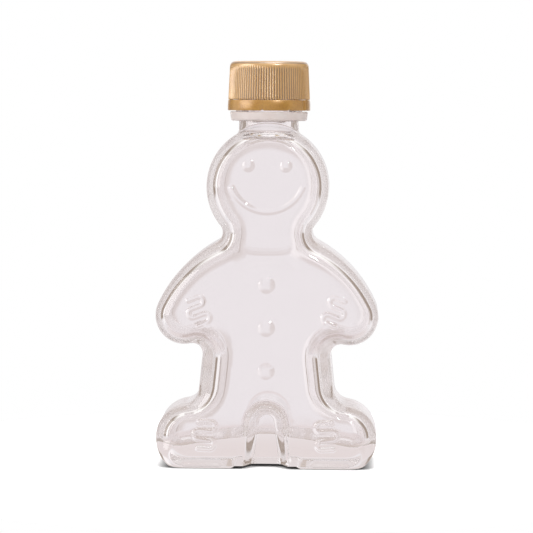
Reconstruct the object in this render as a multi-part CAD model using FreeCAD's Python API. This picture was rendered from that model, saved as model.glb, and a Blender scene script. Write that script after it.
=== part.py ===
import FreeCAD, Part
import math
import os

# Gingerbread man glass bottle, millimetres.
# The figure stands on its feet, faces -Y and has its arms along X; +Z is up.
# The origin is the middle of the base, on the surface the bottle stands on.

V = FreeCAD.Vector

# ---- the figure's outline, seen from the front ----
head_radius = 22.7
head_height = 104.1          # centre of the head above the base
throat_half_width = 16.6     # narrowest place between head and shoulders
throat_radius = 3.9
shoulder_radius = 49.6
hand_radius = 10.7
hand_spread = 30.75          # centre of each hand from the middle
hand_height = 56.1
armpit_radius = 3.75
waist_half_width = 23.6      # torso side at the reference height below
waist_height = 44.0
torso_flare = 0.105          # how much wider the torso gets per unit of drop
ankle_radius = 6.4
foot_radius = 12.5
foot_spread = 28.7           # centre of each foot from the middle
sole_cut = 1.85              # how much of the foot's circle the flat base cuts off

# ---- depth ----
body_depth = 40.0
edge_round = 9.0             # rounding all round the front and back faces
heel_round = 2.0

# ---- glass thickness ----
face_wall = 3.3
head_wall = 3.7
throat_wall = 3.9
shoulder_wall = 5.0
hand_wall = 3.3
side_wall = 5.6
ankle_wall = 5.2
foot_wall = 4.0
floor_thickness = 7.6        # under the feet
floor_crown = 4.2            # how far the floor rises between the legs
floor_crown_span = 31.0      # half the width of that rise
cavity_edge_round = 5.6
cavity_floor_round = 3.5

# ---- recess between the legs, front and back ----
recess_depth = 7.0
recess_top = 22.7
recess_radius = 6.2          # of the round top of the arch
recess_flare = 7.5           # degrees each side leans out towards the base
recess_taper = 2.7           # how far each side leans in over the depth
recess_edge_round = 1.6
recess_floor_round = 2.0

# ---- neck and finish ----
neck_radius = 11.2
neck_wall = 2.2
neck_length = 1.7            # from the crown of the head to the bead
neck_root_round = 2.0
bore_root_round = 2.5
bead_step = 3.4              # how far the bead stands out from the neck
bead_height = 3.4
bead_taper = 0.5
bead_round = 0.6
finish_step = 1.2            # how far the finish stands out from the neck
finish_height = 17.2         # lip above the top of the bead
lip_round = 0.8

# ---- screw cap and tamper band ----
cap_clearance = 0.9          # room round the finish for the thread
cap_wall = 1.3
cap_draft = 0.85             # how much wider the cap is at its foot
cap_top_thickness = 1.5
cap_top_round = 1.9
cap_rib_count = 96
cap_rib_depth = 0.3
cap_rib_share = 0.55         # share of each pitch that is rib, not groove
cap_rib_top_gap = 1.6        # smooth rim left above the ribs
band_height = 3.75
band_bead_gap = 0.4
band_skirt_gap = 0.3
band_nib_count = 12
band_nib_width = 1.0
band_nib_thickness = 0.7
band_score_angle = 59.0      # place of the tear score, from the front towards +X
band_score_width = 0.45
band_score_depth = 0.6

# ---- relief: face, buttons, icing ----
eye_spread = 6.9
eye_lift = 8.0               # above the centre of the head
eye_radius = 2.4
eye_rise = 0.9
smile_lift = 5.2             # centre of the smile's arc above that of the head
smile_radius = 14.1
smile_half_angle = 67.0
smile_half_width = 1.05
smile_rise = 0.8
button_radius = 3.15
button_rise = 1.1
button_count = 3
button_top_height = 68.2
button_pitch = 15.95
icing_half_width = 0.85
icing_rise = 0.7
icing_pitch = 3.3            # from one run of the icing to the next
wrist_runs = 4
wrist_run_length = 3.6
wrist_spread = 25.4
wrist_height = 58.3
wrist_lean = 22.0            # degrees
ankle_runs = 4
ankle_run_length = 4.2
ankle_spread = 22.6
ankle_height = 12.4
ankle_lean = -4.0

# ---- what follows from those sizes ----
half_depth = body_depth / 2
foot_height = foot_radius - sole_cut
crown_height = head_height + head_radius
bore_radius = neck_radius - neck_wall
bead_radius = neck_radius + bead_step
bead_bottom = crown_height + neck_length
bead_top = bead_bottom + bead_height
finish_radius = neck_radius + finish_step
lip_height = bead_top + finish_height
cap_top_radius = finish_radius + cap_clearance + cap_wall
cap_bottom_radius = cap_top_radius + cap_draft
cap_top = lip_height + cap_top_thickness
band_bottom = bead_top + band_bead_gap
band_top = band_bottom + band_height
skirt_bottom = band_top + band_skirt_gap
walls = {"head": head_wall, "throat": throat_wall, "shoulder": shoulder_wall, "hand": hand_wall,
         "side": side_wall, "ankle": ankle_wall, "foot": foot_wall}
floor_crown_radius = (floor_crown_span ** 2 + floor_crown ** 2) / (2 * floor_crown)
recess_floor = half_depth - recess_depth
beyond = 1.0                 # overshoot of cutting tools


def point(x, z, y=0.0):
    return V(x, y, z)


def on_circle(centre, radius, degrees):
    angle = math.radians(degrees)
    return V(centre.x + radius * math.cos(angle), centre.y, centre.z + radius * math.sin(angle))


def bearing(start, end):
    return math.degrees(math.atan2(end.z - start.z, end.x - start.x))


def arc(centre, radius, start, end, clockwise=False):
    """Arc in the XZ plane, both ends given as points."""
    first = bearing(centre, start)
    last = bearing(centre, end)
    if clockwise and last > first:
        last -= 360
    if not clockwise and last < first:
        last += 360
    return Part.Arc(start, on_circle(centre, radius, (first + last) / 2), end).toShape()


def between(start, end, distance):
    return start + (end - start).normalize() * distance


def meet(first, first_radius, second, second_radius):
    """Where two circles cross: the point on the left of the way from first to second."""
    gap = second - first
    reach = gap.Length
    along = (first_radius ** 2 - second_radius ** 2 + reach ** 2) / (2 * reach)
    aside = math.sqrt(first_radius ** 2 - along ** 2)
    way = V(gap).normalize()
    return first + way * along + V(-way.z, 0, way.x) * aside


def beside_line(foot, way, aside, centre, distance):
    """The point on a line moved aside that lies a distance past a centre; a minus is short of it."""
    start = foot + aside
    along = (centre - start).dot(way)
    apart = ((centre - start) - way * along).Length
    reach = math.copysign(math.sqrt(distance ** 2 - apart ** 2), distance)
    return start + way * (along + reach)


def even(inset):
    """The same inset for every stretch of the outline."""
    return {stretch: inset for stretch in walls}


def outline(inset, leg=0):
    """Closed wire of the figure, each stretch that far inside the outer surface.

    The feet end in their full round, or in upright legs that long below their widest place.
    """
    head_centre = point(0, head_height)
    hand_centre = point(hand_spread, hand_height)
    foot_centre = point(foot_spread, foot_height)
    head_r = head_radius - inset["head"]
    hand_r = hand_radius - inset["hand"]
    foot_r = foot_radius - inset["foot"]
    throat_r = throat_radius + inset["throat"]
    armpit_r = armpit_radius + (inset["hand"] + inset["side"]) / 2
    ankle_r = ankle_radius + inset["ankle"]
    shoulder_r = shoulder_radius - inset["shoulder"]

    throat_x = throat_half_width - inset["throat"] + throat_r
    throat_drop = math.sqrt((head_r + throat_r) ** 2 - throat_x ** 2)
    throat_centre = point(throat_x, head_height - throat_drop)
    shoulder_centre = meet(throat_centre, shoulder_r + throat_r, hand_centre, shoulder_r - hand_r)
    if shoulder_centre.x > hand_centre.x:
        shoulder_centre = meet(hand_centre, shoulder_r - hand_r, throat_centre, shoulder_r + throat_r)

    waist = point(waist_half_width - inset["side"], waist_height)
    torso_way = V(-torso_flare, 0, 1).normalize()
    torso_side = V(1, 0, torso_flare).normalize()
    armpit_centre = beside_line(waist, torso_way, torso_side * armpit_r, hand_centre, -(hand_r + armpit_r))
    ankle_centre = beside_line(waist, torso_way, torso_side * ankle_r, foot_centre, foot_r + ankle_r)

    foot_start = on_circle(foot_centre, foot_r, 0 if leg else -90)
    sole = foot_start - V(0, 0, leg)
    foot_end = between(foot_centre, ankle_centre, foot_r)
    ankle_end = ankle_centre - torso_side * ankle_r
    armpit_start = armpit_centre - torso_side * armpit_r
    armpit_end = between(armpit_centre, hand_centre, armpit_r)
    hand_end = hand_centre + (hand_centre - shoulder_centre).normalize() * hand_r
    shoulder_end = between(shoulder_centre, throat_centre, shoulder_r)
    throat_end = between(throat_centre, head_centre, throat_r)

    side_edges = [
        arc(foot_centre, foot_r, foot_start, foot_end),
        arc(ankle_centre, ankle_r, foot_end, ankle_end, True),
        Part.LineSegment(ankle_end, armpit_start).toShape(),
        arc(armpit_centre, armpit_r, armpit_start, armpit_end, True),
        arc(hand_centre, hand_r, armpit_end, hand_end),
        arc(shoulder_centre, shoulder_r, hand_end, shoulder_end),
        arc(throat_centre, throat_r, shoulder_end, throat_end, True),
    ]
    if leg:
        side_edges.append(Part.LineSegment(sole, foot_start).toShape())
    other_side = [edge.mirror(V(0, 0, 0), V(1, 0, 0)) for edge in side_edges]
    base = Part.LineSegment(point(-sole.x, sole.z), sole).toShape()
    crown = on_circle(head_centre, head_r, 90)
    head_arc = Part.Arc(throat_end, crown, point(-throat_end.x, throat_end.z)).toShape()
    return Part.Wire(Part.sortEdges(side_edges + other_side + [base, head_arc])[0])


def slab(wire, half_thickness, rounding):
    """The outline made thick along Y, with its front and back edges rounded."""
    face = Part.Face(wire)
    face.translate(V(0, -half_thickness, 0))
    solid = face.extrude(V(0, 2 * half_thickness, 0))
    rims = [e for e in solid.Edges if all(abs(abs(v.Y) - half_thickness) < 1e-6 for v in e.Vertexes)]
    return solid.makeFillet(rounding, rims)


def above(solid, height):
    """The part of a solid over a level plane."""
    box = solid.BoundBox
    room = Part.makeBox(box.XLength + 2 * beyond, box.YLength + 2 * beyond, box.ZMax - height + beyond)
    room.translate(V(box.XMin - beyond, box.YMin - beyond, height))
    return solid.common(room)


def round_level_edges(solid, height, rounding):
    edges = [e for e in solid.Edges if all(abs(v.Z - height) < 1e-6 for v in e.Vertexes)]
    return solid.makeFillet(rounding, edges)


def arch_wire(depth, grow, floor):
    """Round-topped outline of the leg recess, wider at its foot; grow widens it all round."""
    hub = point(0, recess_top - recess_radius, depth)
    radius = recess_radius + grow
    right = on_circle(hub, radius, recess_flare)
    left = on_circle(hub, radius, 180 - recess_flare)
    spread = (right.z - floor) * math.tan(math.radians(recess_flare))
    right_foot = point(right.x + spread, floor, depth)
    left_foot = point(left.x - spread, floor, depth)
    return Part.Wire([
        Part.LineSegment(left_foot, right_foot).toShape(),
        Part.LineSegment(right_foot, right).toShape(),
        Part.Arc(right, point(0, hub.z + radius, depth), left).toShape(),
        Part.LineSegment(left, left_foot).toShape(),
    ])


def recess_tool(depth_inside, grow, start):
    """Tapered plug for the front recess, from the depth start in to depth_inside."""
    slope = recess_taper / recess_depth
    outer = arch_wire(-start, grow + slope * (start - half_depth), -foot_radius)
    inner = arch_wire(-depth_inside, grow - slope * (half_depth - depth_inside), -foot_radius)
    return Part.makeLoft([outer, inner], True, True)


def both_faces(solid):
    return [solid, solid.mirror(V(0, 0, 0), V(0, 1, 0))]


def prism(face):
    """A face in the XZ plane carried forward through the front of the body."""
    face.translate(V(0, -half_depth - beyond - icing_rise, 0))
    return face.extrude(V(0, half_depth, 0))


def half_ring(hub, side):
    """The turn between two runs of icing, on the +X or -X side of its hub."""
    up = V(0, 0, 1)
    across = V(side, 0, 0)
    outer_r = icing_pitch / 2 + icing_half_width
    inner_r = icing_pitch / 2 - icing_half_width
    return Part.Face(Part.Wire([
        Part.Arc(hub + up * outer_r, hub + across * outer_r, hub - up * outer_r).toShape(),
        Part.LineSegment(hub - up * outer_r, hub - up * inner_r).toShape(),
        Part.Arc(hub - up * inner_r, hub + across * inner_r, hub + up * inner_r).toShape(),
        Part.LineSegment(hub + up * inner_r, hub + up * outer_r).toShape(),
    ]))


def icing(runs, run_length, spread, height, lean):
    """A zigzag of icing: level runs joined by half rings, with round ends."""
    pieces = []
    half_run = run_length / 2
    top = icing_pitch * (runs - 1) / 2
    for run in range(runs):
        level = top - run * icing_pitch
        bar = [point(-half_run, level - icing_half_width), point(half_run, level - icing_half_width),
               point(half_run, level + icing_half_width), point(-half_run, level + icing_half_width)]
        pieces.append(prism(Part.Face(Part.makePolygon(bar + [bar[0]]))))
        if run == runs - 1:
            continue
        side = 1 if run % 2 == 0 else -1
        pieces.append(prism(half_ring(point(side * half_run, level - icing_pitch / 2), side)))
    last_side = 1 if runs % 2 == 1 else -1
    for end in (point(-half_run, top), point(last_side * half_run, -top)):
        disc = Part.Face(Part.Wire(Part.makeCircle(icing_half_width, end, V(0, 1, 0))))
        pieces.append(prism(disc))
    band = pieces[0].fuse(pieces[1:]).removeSplitter()
    band.rotate(V(0, 0, 0), V(0, 1, 0), -lean)
    band.translate(V(-spread, 0, height))
    return [band, band.mirror(V(0, 0, 0), V(1, 0, 0))]


def dome(x, z, radius, rise):
    """A low round bump standing on the front face."""
    ball = (radius ** 2 + rise ** 2) / (2 * rise)
    return Part.makeSphere(ball, point(x, z, -half_depth - rise + ball))


def smile():
    rod = (smile_half_width ** 2 + smile_rise ** 2) / (2 * smile_rise)
    depth = -half_depth - smile_rise + rod
    hub = point(0, head_height + smile_lift, depth)
    start = on_circle(hub, smile_radius, -90 - smile_half_angle)
    middle = on_circle(hub, smile_radius, -90)
    end = on_circle(hub, smile_radius, -90 + smile_half_angle)
    path = Part.Wire(Part.Arc(start, middle, end).toShape())
    tangent = path.Edges[0].tangentAt(path.Edges[0].FirstParameter)
    section = Part.Wire(Part.makeCircle(rod, start, tangent))
    line = path.makePipeShell([section], True, False)
    return [line, Part.makeSphere(rod, start), Part.makeSphere(rod, end)]


def recess_edges(body, nearest, furthest):
    """Edges of the leg recess whose ends all lie between two distances from the middle plane."""
    reach = recess_radius + recess_edge_round + recess_depth
    return [e for e in body.Edges
            if max(abs(e.BoundBox.XMin), abs(e.BoundBox.XMax)) < reach
            and e.BoundBox.ZMax > 0
            and all(nearest < abs(v.Y) < furthest for v in e.Vertexes)]


def root_edges(body, radius):
    """Where an upright round of that radius springs from the head."""
    return [e for e in body.Edges
            if all(abs(math.hypot(v.X, v.Y) - radius) < 1e-4 for v in e.Vertexes)
            and head_height + beyond < e.BoundBox.ZMax < bead_bottom]


def glass_outside():
    body = slab(outline(even(0)), half_depth, edge_round)
    body = body.cut(both_faces(recess_tool(recess_floor, 0, half_depth + beyond)))
    body = body.makeFillet(recess_floor_round, recess_edges(body, recess_floor - 0.01, recess_floor + 0.01))
    body = body.makeFillet(recess_edge_round, recess_edges(body, half_depth - 0.01, half_depth + 0.01))
    body = round_level_edges(above(body, 0), 0, heel_round)
    bead_middle = bead_bottom + bead_height / 2
    body = body.fuse(Part.makeCylinder(neck_radius, bead_middle - head_height, point(0, head_height)))
    return body.makeFillet(neck_root_round, root_edges(body, neck_radius))


def glass_inside():
    leg = foot_height + cavity_edge_round
    space = slab(outline(walls, leg), half_depth - face_wall, cavity_edge_round)
    space = above(space, floor_thickness)
    space = round_level_edges(space, floor_thickness, cavity_floor_round)
    hump_centre = point(0, floor_thickness + floor_crown - floor_crown_radius, -body_depth)
    space = space.cut(Part.makeCylinder(floor_crown_radius, 2 * body_depth, hump_centre, V(0, 1, 0)))
    plug = recess_tool(recess_floor - face_wall, face_wall, half_depth + beyond)
    space = space.cut(both_faces(plug))
    bore = Part.makeCylinder(bore_radius, lip_height + beyond - head_height, point(0, head_height))
    space = space.fuse(bore)
    return space.makeFillet(bore_root_round, root_edges(space, bore_radius))


def turned(profile):
    """Solid of revolution about Z from (radius, height) corners."""
    corners = [point(r, z) for r, z in profile]
    face = Part.Face(Part.makePolygon(corners + [corners[0]]))
    return face.revolve(V(0, 0, 0), V(0, 0, 1), 360)


def bead():
    low = bead_radius - bead_taper
    ring = turned([(0, bead_bottom), (low, bead_bottom), (bead_radius, bead_top), (0, bead_top)])
    rims = [e for e in ring.Edges if e.Length > 2 * math.pi * (low - beyond) and len(e.Vertexes) == 1]
    return ring.makeFillet(bead_round, rims)


def finish():
    tube = Part.makeCylinder(finish_radius, finish_height, point(0, bead_top))
    top_rim = [e for e in tube.Edges if abs(e.BoundBox.ZMin - lip_height) < 1e-6]
    return tube.makeFillet(lip_round, top_rim)


def relief(body):
    """Eyes, smile, buttons and icing, all standing on the front face."""
    bumps = [dome(side * eye_spread, head_height + eye_lift, eye_radius, eye_rise) for side in (-1, 1)]
    for row in range(button_count):
        bumps.append(dome(0, button_top_height - row * button_pitch, button_radius, button_rise))
    bumps += smile()
    skin = slab(outline(even(-icing_rise)), half_depth + icing_rise, edge_round + icing_rise)
    bands = icing(wrist_runs, wrist_run_length, wrist_spread, wrist_height, wrist_lean)
    bands += icing(ankle_runs, ankle_run_length, ankle_spread, ankle_height, ankle_lean)
    bumps += [band.common(skin) for band in bands]
    return body.fuse(bumps)


def glass_bottle():
    body = relief(glass_outside())
    body = body.fuse([bead(), finish()])
    return body.cut(glass_inside())


def cap_radius(height):
    share = (height - band_bottom) / (cap_top - band_bottom)
    return cap_bottom_radius + share * (cap_top_radius - cap_bottom_radius)


def ribbed_ring(radius, height):
    """Outline of the ribbed skirt: rib crests joined by shallow grooves."""
    edges = []
    pitch = 360 / cap_rib_count
    crest = pitch * cap_rib_share
    low = radius - cap_rib_depth
    for rib in range(cap_rib_count):
        start = rib * pitch
        marks = [start, start + crest / 2, start + crest, start + (crest + pitch) / 2, start + pitch]
        reach = [radius, radius, radius, low, radius]
        spots = [V(r * math.cos(math.radians(a)), r * math.sin(math.radians(a)), height)
                 for a, r in zip(marks, reach)]
        edges.append(Part.Arc(spots[0], spots[1], spots[2]).toShape())
        edges.append(Part.LineSegment(spots[2], spots[3]).toShape())
        edges.append(Part.LineSegment(spots[3], spots[4]).toShape())
    return Part.Wire(edges)


def cap_envelope(inset):
    """Plain outside of the cap with its rounded top rim."""
    body = turned([(0, skirt_bottom), (cap_radius(skirt_bottom) - inset, skirt_bottom),
                   (cap_top_radius - inset, cap_top), (0, cap_top)])
    rim = [e for e in body.Edges if e.BoundBox.ZMin > cap_top - 1e-6 and len(e.Vertexes) == 1]
    return body.makeFillet(cap_top_round, rim)


def screw_cap():
    rib_top = cap_top - cap_rib_top_gap
    skirt = Part.makeLoft([ribbed_ring(cap_radius(skirt_bottom), skirt_bottom),
                           ribbed_ring(cap_radius(rib_top), rib_top)], True, True)
    crown = above(cap_envelope(0), rib_top)
    body = skirt.common(cap_envelope(0)).fuse(crown)
    low = skirt_bottom - beyond
    inside = turned([(0, low), (cap_radius(skirt_bottom) - cap_wall, low),
                     (cap_radius(lip_height) - cap_wall, lip_height), (0, lip_height)])
    return body.cut(inside)


def tamper_band():
    """Smooth ring under the cap, held to the skirt by thin nibs."""
    low = cap_radius(band_bottom)
    high = cap_radius(band_top)
    ring = turned([(low - cap_wall, band_bottom), (low, band_bottom),
                   (high, band_top), (high - cap_wall, band_top)])
    nibs = []
    for number in range(band_nib_count):
        nib_corner = V(high - (cap_wall + band_nib_thickness) / 2, -band_nib_width / 2, band_top - beyond)
        nib = Part.makeBox(band_nib_thickness, band_nib_width, band_skirt_gap + beyond, nib_corner)
        nib.rotate(V(0, 0, 0), V(0, 0, 1), (number + 0.5) * 360 / band_nib_count)
        nibs.append(nib)
    score_corner = V(high - band_score_depth, -band_score_width / 2, band_bottom - beyond)
    score = Part.makeBox(band_score_depth + beyond, band_score_width, band_height + 2 * beyond, score_corner)
    score.rotate(V(0, 0, 0), V(0, 0, 1), band_score_angle - 90)
    return ring.cut(score).fuse(nibs).removeSplitter()


def save(name, shape):
    solid = shape.Solids[0]
    box = solid.BoundBox
    print(name, "solids", len(shape.Solids), "valid", solid.isValid(), "volume", round(solid.Volume),
          "faces", len(solid.Faces), "x", round(box.XMin, 2), round(box.XMax, 2), "y", round(box.YMin, 2),
          round(box.YMax, 2), "z", round(box.ZMin, 2), round(box.ZMax, 2))
    solid.exportStep("parts/" + name + ".step")


os.makedirs("parts", exist_ok=True)
save("glass_bottle", glass_bottle())
save("screw_cap", screw_cap())
save("tamper_band", tamper_band())
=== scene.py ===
import math
import bpy
import bmesh
from mathutils import Matrix, Quaternion, Vector, noise


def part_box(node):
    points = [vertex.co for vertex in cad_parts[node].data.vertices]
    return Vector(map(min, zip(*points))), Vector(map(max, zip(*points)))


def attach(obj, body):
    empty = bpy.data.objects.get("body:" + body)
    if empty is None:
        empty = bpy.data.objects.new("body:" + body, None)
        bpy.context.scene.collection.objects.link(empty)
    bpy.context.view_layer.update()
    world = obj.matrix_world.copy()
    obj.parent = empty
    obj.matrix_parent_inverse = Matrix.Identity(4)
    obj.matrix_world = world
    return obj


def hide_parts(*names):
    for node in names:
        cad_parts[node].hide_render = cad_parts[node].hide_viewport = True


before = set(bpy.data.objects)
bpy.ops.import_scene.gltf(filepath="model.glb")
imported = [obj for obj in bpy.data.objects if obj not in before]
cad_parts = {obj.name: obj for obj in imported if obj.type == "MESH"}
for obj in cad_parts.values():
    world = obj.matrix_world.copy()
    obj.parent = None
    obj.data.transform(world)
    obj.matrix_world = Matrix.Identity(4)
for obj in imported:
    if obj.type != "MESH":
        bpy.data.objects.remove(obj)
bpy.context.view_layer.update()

mm = 0.001

# every size is in millimetres until a piece is finished
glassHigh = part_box("glass_bottle")[1] / mm
capLow, capHigh = [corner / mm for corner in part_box("screw_cap")]
bandLow, bandHigh = [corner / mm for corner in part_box("tamper_band")]


def softMax(a, b, blend):
    share = min(max(0.5 + 0.5 * (a - b) / blend, 0), 1)
    return b + (a - b) * share + blend * share * (1 - share)


def softMin(a, b, blend):
    return -softMax(-a, -b, blend)


def smoothStep(value):
    value = min(max(value, 0), 1)
    return value * value * (3 - 2 * value)


def hump(distance, radius, sharpness=1.5):
    # a round bump, 1 in the middle and 0 at its radius; a lower sharpness ends in a steeper edge
    share = min(abs(distance) / radius, 1)
    return (1 - share * share) ** sharpness


# the figure's outline, seen from the front
figure = {
    "headRadius": 22.7, "headHeight": 104.1,
    "throatHalfWidth": 16.6, "throatRadius": 3.9,
    "shoulderRadius": 49.6,
    "handRadius": 10.7, "handSpread": 30.75, "handHeight": 56.1,
    "armpitRadius": 3.75,
    "waistHalfWidth": 23.6, "waistHeight": 44.0, "torsoFlare": 0.105,
    "ankleRadius": 6.4,
    "footRadius": 12.5, "footSpread": 28.7, "footHeight": 10.65,
    "halfDepth": glassHigh.y, "edgeRound": 9.0, "soleRound": 3.2, "soleBelow": 12.0, "soleTurn": 1.15,
    "spacing": 0.5, "edgeSteps": 18, "wallSteps": 4, "cell": 1.0, "mergeWithin": 0.03,
}


def crossing(first, firstRadius, second, secondRadius):
    gap = second - first
    along = (firstRadius ** 2 - secondRadius ** 2 + gap.length_squared) / (2 * gap.length)
    aside = math.sqrt(firstRadius ** 2 - along ** 2)
    way = gap.normalized()
    return first + way * along + Vector((-way.y, way.x)) * aside


def besideLine(start, way, centre, distance):
    along = (centre - start).dot(way)
    apart = (centre - start - way * along).length
    return start + way * (along + math.copysign(math.sqrt(distance ** 2 - apart ** 2), distance))


def halfOutline(f, walls, corner=0):
    # the right half, base to crown, as lines (end,) and arcs (end, hub, radius, bulge)
    w = {name: walls.get(name, 0) for name in ("head", "throat", "shoulder", "hand", "side", "ankle", "foot")}
    head = Vector((0, f["headHeight"]))
    hand = Vector((f["handSpread"], f["handHeight"]))
    foot = Vector((f["footSpread"], f["footHeight"]))
    headR = f["headRadius"] - w["head"]
    handR = f["handRadius"] - w["hand"]
    footR = f["footRadius"] - w["foot"]
    throatR = f["throatRadius"] + w["throat"]
    armpitR = f["armpitRadius"] + (w["hand"] + w["side"]) / 2
    ankleR = f["ankleRadius"] + w["ankle"]
    shoulderR = f["shoulderRadius"] - w["shoulder"]
    throatX = f["throatHalfWidth"] - w["throat"] + throatR
    throat = Vector((throatX, head.y - math.sqrt((headR + throatR) ** 2 - throatX ** 2)))
    shoulder = crossing(throat, shoulderR + throatR, hand, shoulderR - handR)
    if shoulder.x > hand.x:
        shoulder = crossing(hand, shoulderR - handR, throat, shoulderR + throatR)
    waist = Vector((f["waistHalfWidth"] - w["side"], f["waistHeight"]))
    sideWay = Vector((-f["torsoFlare"], 1)).normalized()
    sideOut = Vector((1, f["torsoFlare"])).normalized()
    armpit = besideLine(waist + sideOut * armpitR, sideWay, hand, -(handR + armpitR))
    ankle = besideLine(waist + sideOut * ankleR, sideWay, foot, footR + ankleR)
    footEnd = foot + (ankle - foot).normalized() * footR
    widest = foot + Vector((footR, 0))
    if corner:  # the cavity's foot ends in a tighter corner than its side
        cornerHub = widest - Vector((corner, 0))
        first = [(cornerHub - Vector((0, corner)),),
                 (widest, cornerHub, corner, 1),
                 (footEnd, foot, footR, 1)]
    else:
        first = [(foot - Vector((0, footR)),), (footEnd, foot, footR, 1)]
    return first + [
        (ankle - sideOut * ankleR, ankle, ankleR, -1),
        (armpit - sideOut * armpitR,),
        (armpit + (hand - armpit).normalized() * armpitR, armpit, armpitR, -1),
        (hand + (hand - shoulder).normalized() * handR, hand, handR, 1),
        (shoulder + (throat - shoulder).normalized() * shoulderR, shoulder, shoulderR, 1),
        (throat + (head - throat).normalized() * throatR, throat, throatR, -1),
        (head + Vector((0, headR)), head, headR, 1),
    ]


def wholeOutline(half):
    # gives each stretch its start, and adds the left half in order
    start = Vector((0, half[0][0].y))
    right = []
    for end, *arc in half:
        right.append((start, end, *arc))
        start = end
    flip = Vector((-1, 1))
    left = []
    for start, end, *arc in reversed(right):
        if arc:
            arc[0] = arc[0] * flip
        left.append((end * flip, start * flip, *arc))
    return right + left


offWall = 9  # the turn of a point that doesn't lie on the rounded wall


def newShell():
    # the points remember where on the rounded wall they lie, so that finer ones land on the true curve
    bm = bmesh.new()
    layers = bm.verts.layers
    return {"bm": bm, "rim": layers.float_vector.new("rim"), "out": layers.float_vector.new("out"),
            "bend": layers.float.new("bend"), "turn": layers.float.new("turn")}


def layOutline(shell, stretches, spacing):
    # the outline grows from one point by spins
    bm = shell["bm"]
    ring = [bm.verts.new((0, 0, stretches[0][0].y))]
    ring[0][shell["out"]] = (0, 0, -1)
    for start, end, *arc in stretches:
        known = set(bm.verts)
        if arc:
            hub, radius, bulge = arc
            sweep = math.atan2((end - hub).y, (end - hub).x) - math.atan2((start - hub).y, (start - hub).x)
            sweep = bulge * ((sweep * bulge) % (2 * math.pi))
            steps = max(3, math.ceil(abs(sweep) * radius / spacing))
            bmesh.ops.spin(bm, geom=[ring[-1]], angle=-sweep, steps=steps,
                           axis=(0, 1, 0), cent=(hub.x, 0, hub.y))
        else:
            steps = max(2, math.ceil((end - start).length / spacing))
            step = (end - start) / steps
            bmesh.ops.spin(bm, geom=[ring[-1]], angle=0, steps=steps,
                           axis=(0, 1, 0), dvec=(step.x, 0, step.y))
        origin = ring[-1].co.copy()
        fresh = sorted((v for v in bm.verts if v not in known), key=lambda v: (v.co - origin).length_squared)
        for v in fresh:
            spot = Vector((v.co.x, v.co.z))
            if arc:
                out = (spot - hub).normalized() * bulge
                v[shell["bend"]] = radius * bulge
            else:
                out = Vector(((end - start).y, (start - end).x)).normalized()
            v[shell["out"]] = (out.x, 0, out.y)
        ring += fresh
    bmesh.ops.weld_verts(bm, targetmap={ring[-1]: ring[0]})
    ring.pop()
    for v in ring:
        v[shell["rim"]] = v.co
    return ring


def nextRing(bm, ring):
    # the ring's edges extruded in place: the new points, in the same order
    pairs = zip(ring, ring[1:] + ring[:1])
    made = bmesh.ops.extrude_edge_only(bm, edges=[bm.edges.get(pair) for pair in pairs])
    fresh = set(item for item in made["geom"] if isinstance(item, bmesh.types.BMVert))
    return [next(e.other_vert(v) for e in v.link_edges if e.other_vert(v) in fresh) for v in ring]


def roundAt(rim, out, edgeRound, soleRound):
    # the edge is rounded less under the feet
    if not soleRound or rim.z > figure["soleBelow"]:
        return edgeRound
    return edgeRound + (soleRound - edgeRound) * smoothStep(-figure["soleTurn"] * out.z / out.length)


def growWall(shell, ring, halfDepth, edgeRound, wallSteps, edgeSteps, side, soleRound=0):
    # straight wall from the middle, then the rounded edge up to the flat face
    bm = shell["bm"]
    levels = [(0, k / wallSteps) for k in range(1, wallSteps + 1)]
    levels += [(math.pi / 2 * k / edgeSteps, 1) for k in range(1, edgeSteps + 1)]
    for turn, share in levels:
        below, ring = ring, nextRing(bm, ring)
        for old, new in zip(below, ring):
            for layer in ("rim", "out", "bend"):
                new[shell[layer]] = old[shell[layer]]
            new[shell["turn"]] = turn
            edge = roundAt(new[shell["rim"]], new[shell["out"]], edgeRound, soleRound)
            new.co = new[shell["rim"]] - new[shell["out"]] * (edge * (1 - math.cos(turn)))
            new.co.y = side * ((halfDepth - edge) * share + edge * math.sin(turn))
    return ring


def fillFace(shell, ring, cell):
    # one flat face inside the ring, cut into a grid by planes that miss the middle line
    bm = shell["bm"]
    border = [bm.edges.get(pair) for pair in zip(ring, ring[1:] + ring[:1])]
    face = bmesh.ops.contextual_create(bm, geom=border)["faces"][0]
    rim = set(ring)
    shift = 0.013
    geometry = [face] + face.edges[:] + face.verts[:]
    for axis in (Vector((1, 0, 0)), Vector((0, 0, 1))):
        low = min(v.co.dot(axis) for v in ring)
        count = round((max(v.co.dot(axis) for v in ring) - low) / cell)
        for k in range(1, count):
            place = axis * (low + (k + shift) * cell)
            cut = bmesh.ops.bisect_plane(bm, geom=geometry, dist=1e-4, plane_co=place, plane_no=axis)
            geometry = cut["geom"]
    faces = set(item for item in geometry if isinstance(item, bmesh.types.BMFace))
    verts = [item for item in geometry if isinstance(item, bmesh.types.BMVert)]
    for v in verts:
        if v not in rim and all(f in faces for f in v.link_faces):
            v[shell["turn"]] = offWall


def refine(shell, near, cuts=2):
    edges = [e for e in shell["bm"].edges if all(near(v.co) for v in e.verts)]
    bmesh.ops.subdivide_edges(shell["bm"], edges=edges, cuts=cuts, use_grid_fill=True)


def settle(shell, halfDepth, edgeRound, soleRound=0):
    # every point of the rounded edge goes back to the true curve
    for v in shell["bm"].verts:
        turn, raw = v[shell["turn"]], v[shell["out"]]
        if turn > math.pi / 2 + 1e-4 or raw.length < 0.5:
            continue
        rim = v[shell["rim"]] + raw * v[shell["bend"]] * (1 / raw.length - 1)
        side = math.copysign(1, v.co.y)
        edge = roundAt(rim, raw, edgeRound, soleRound)
        depth = halfDepth - edge * (1 - math.sin(turn)) if turn > 0 else abs(v.co.y)
        v.co = rim - raw.normalized() * (edge * (1 - math.cos(turn)))
        v.co.y = side * depth


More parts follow.
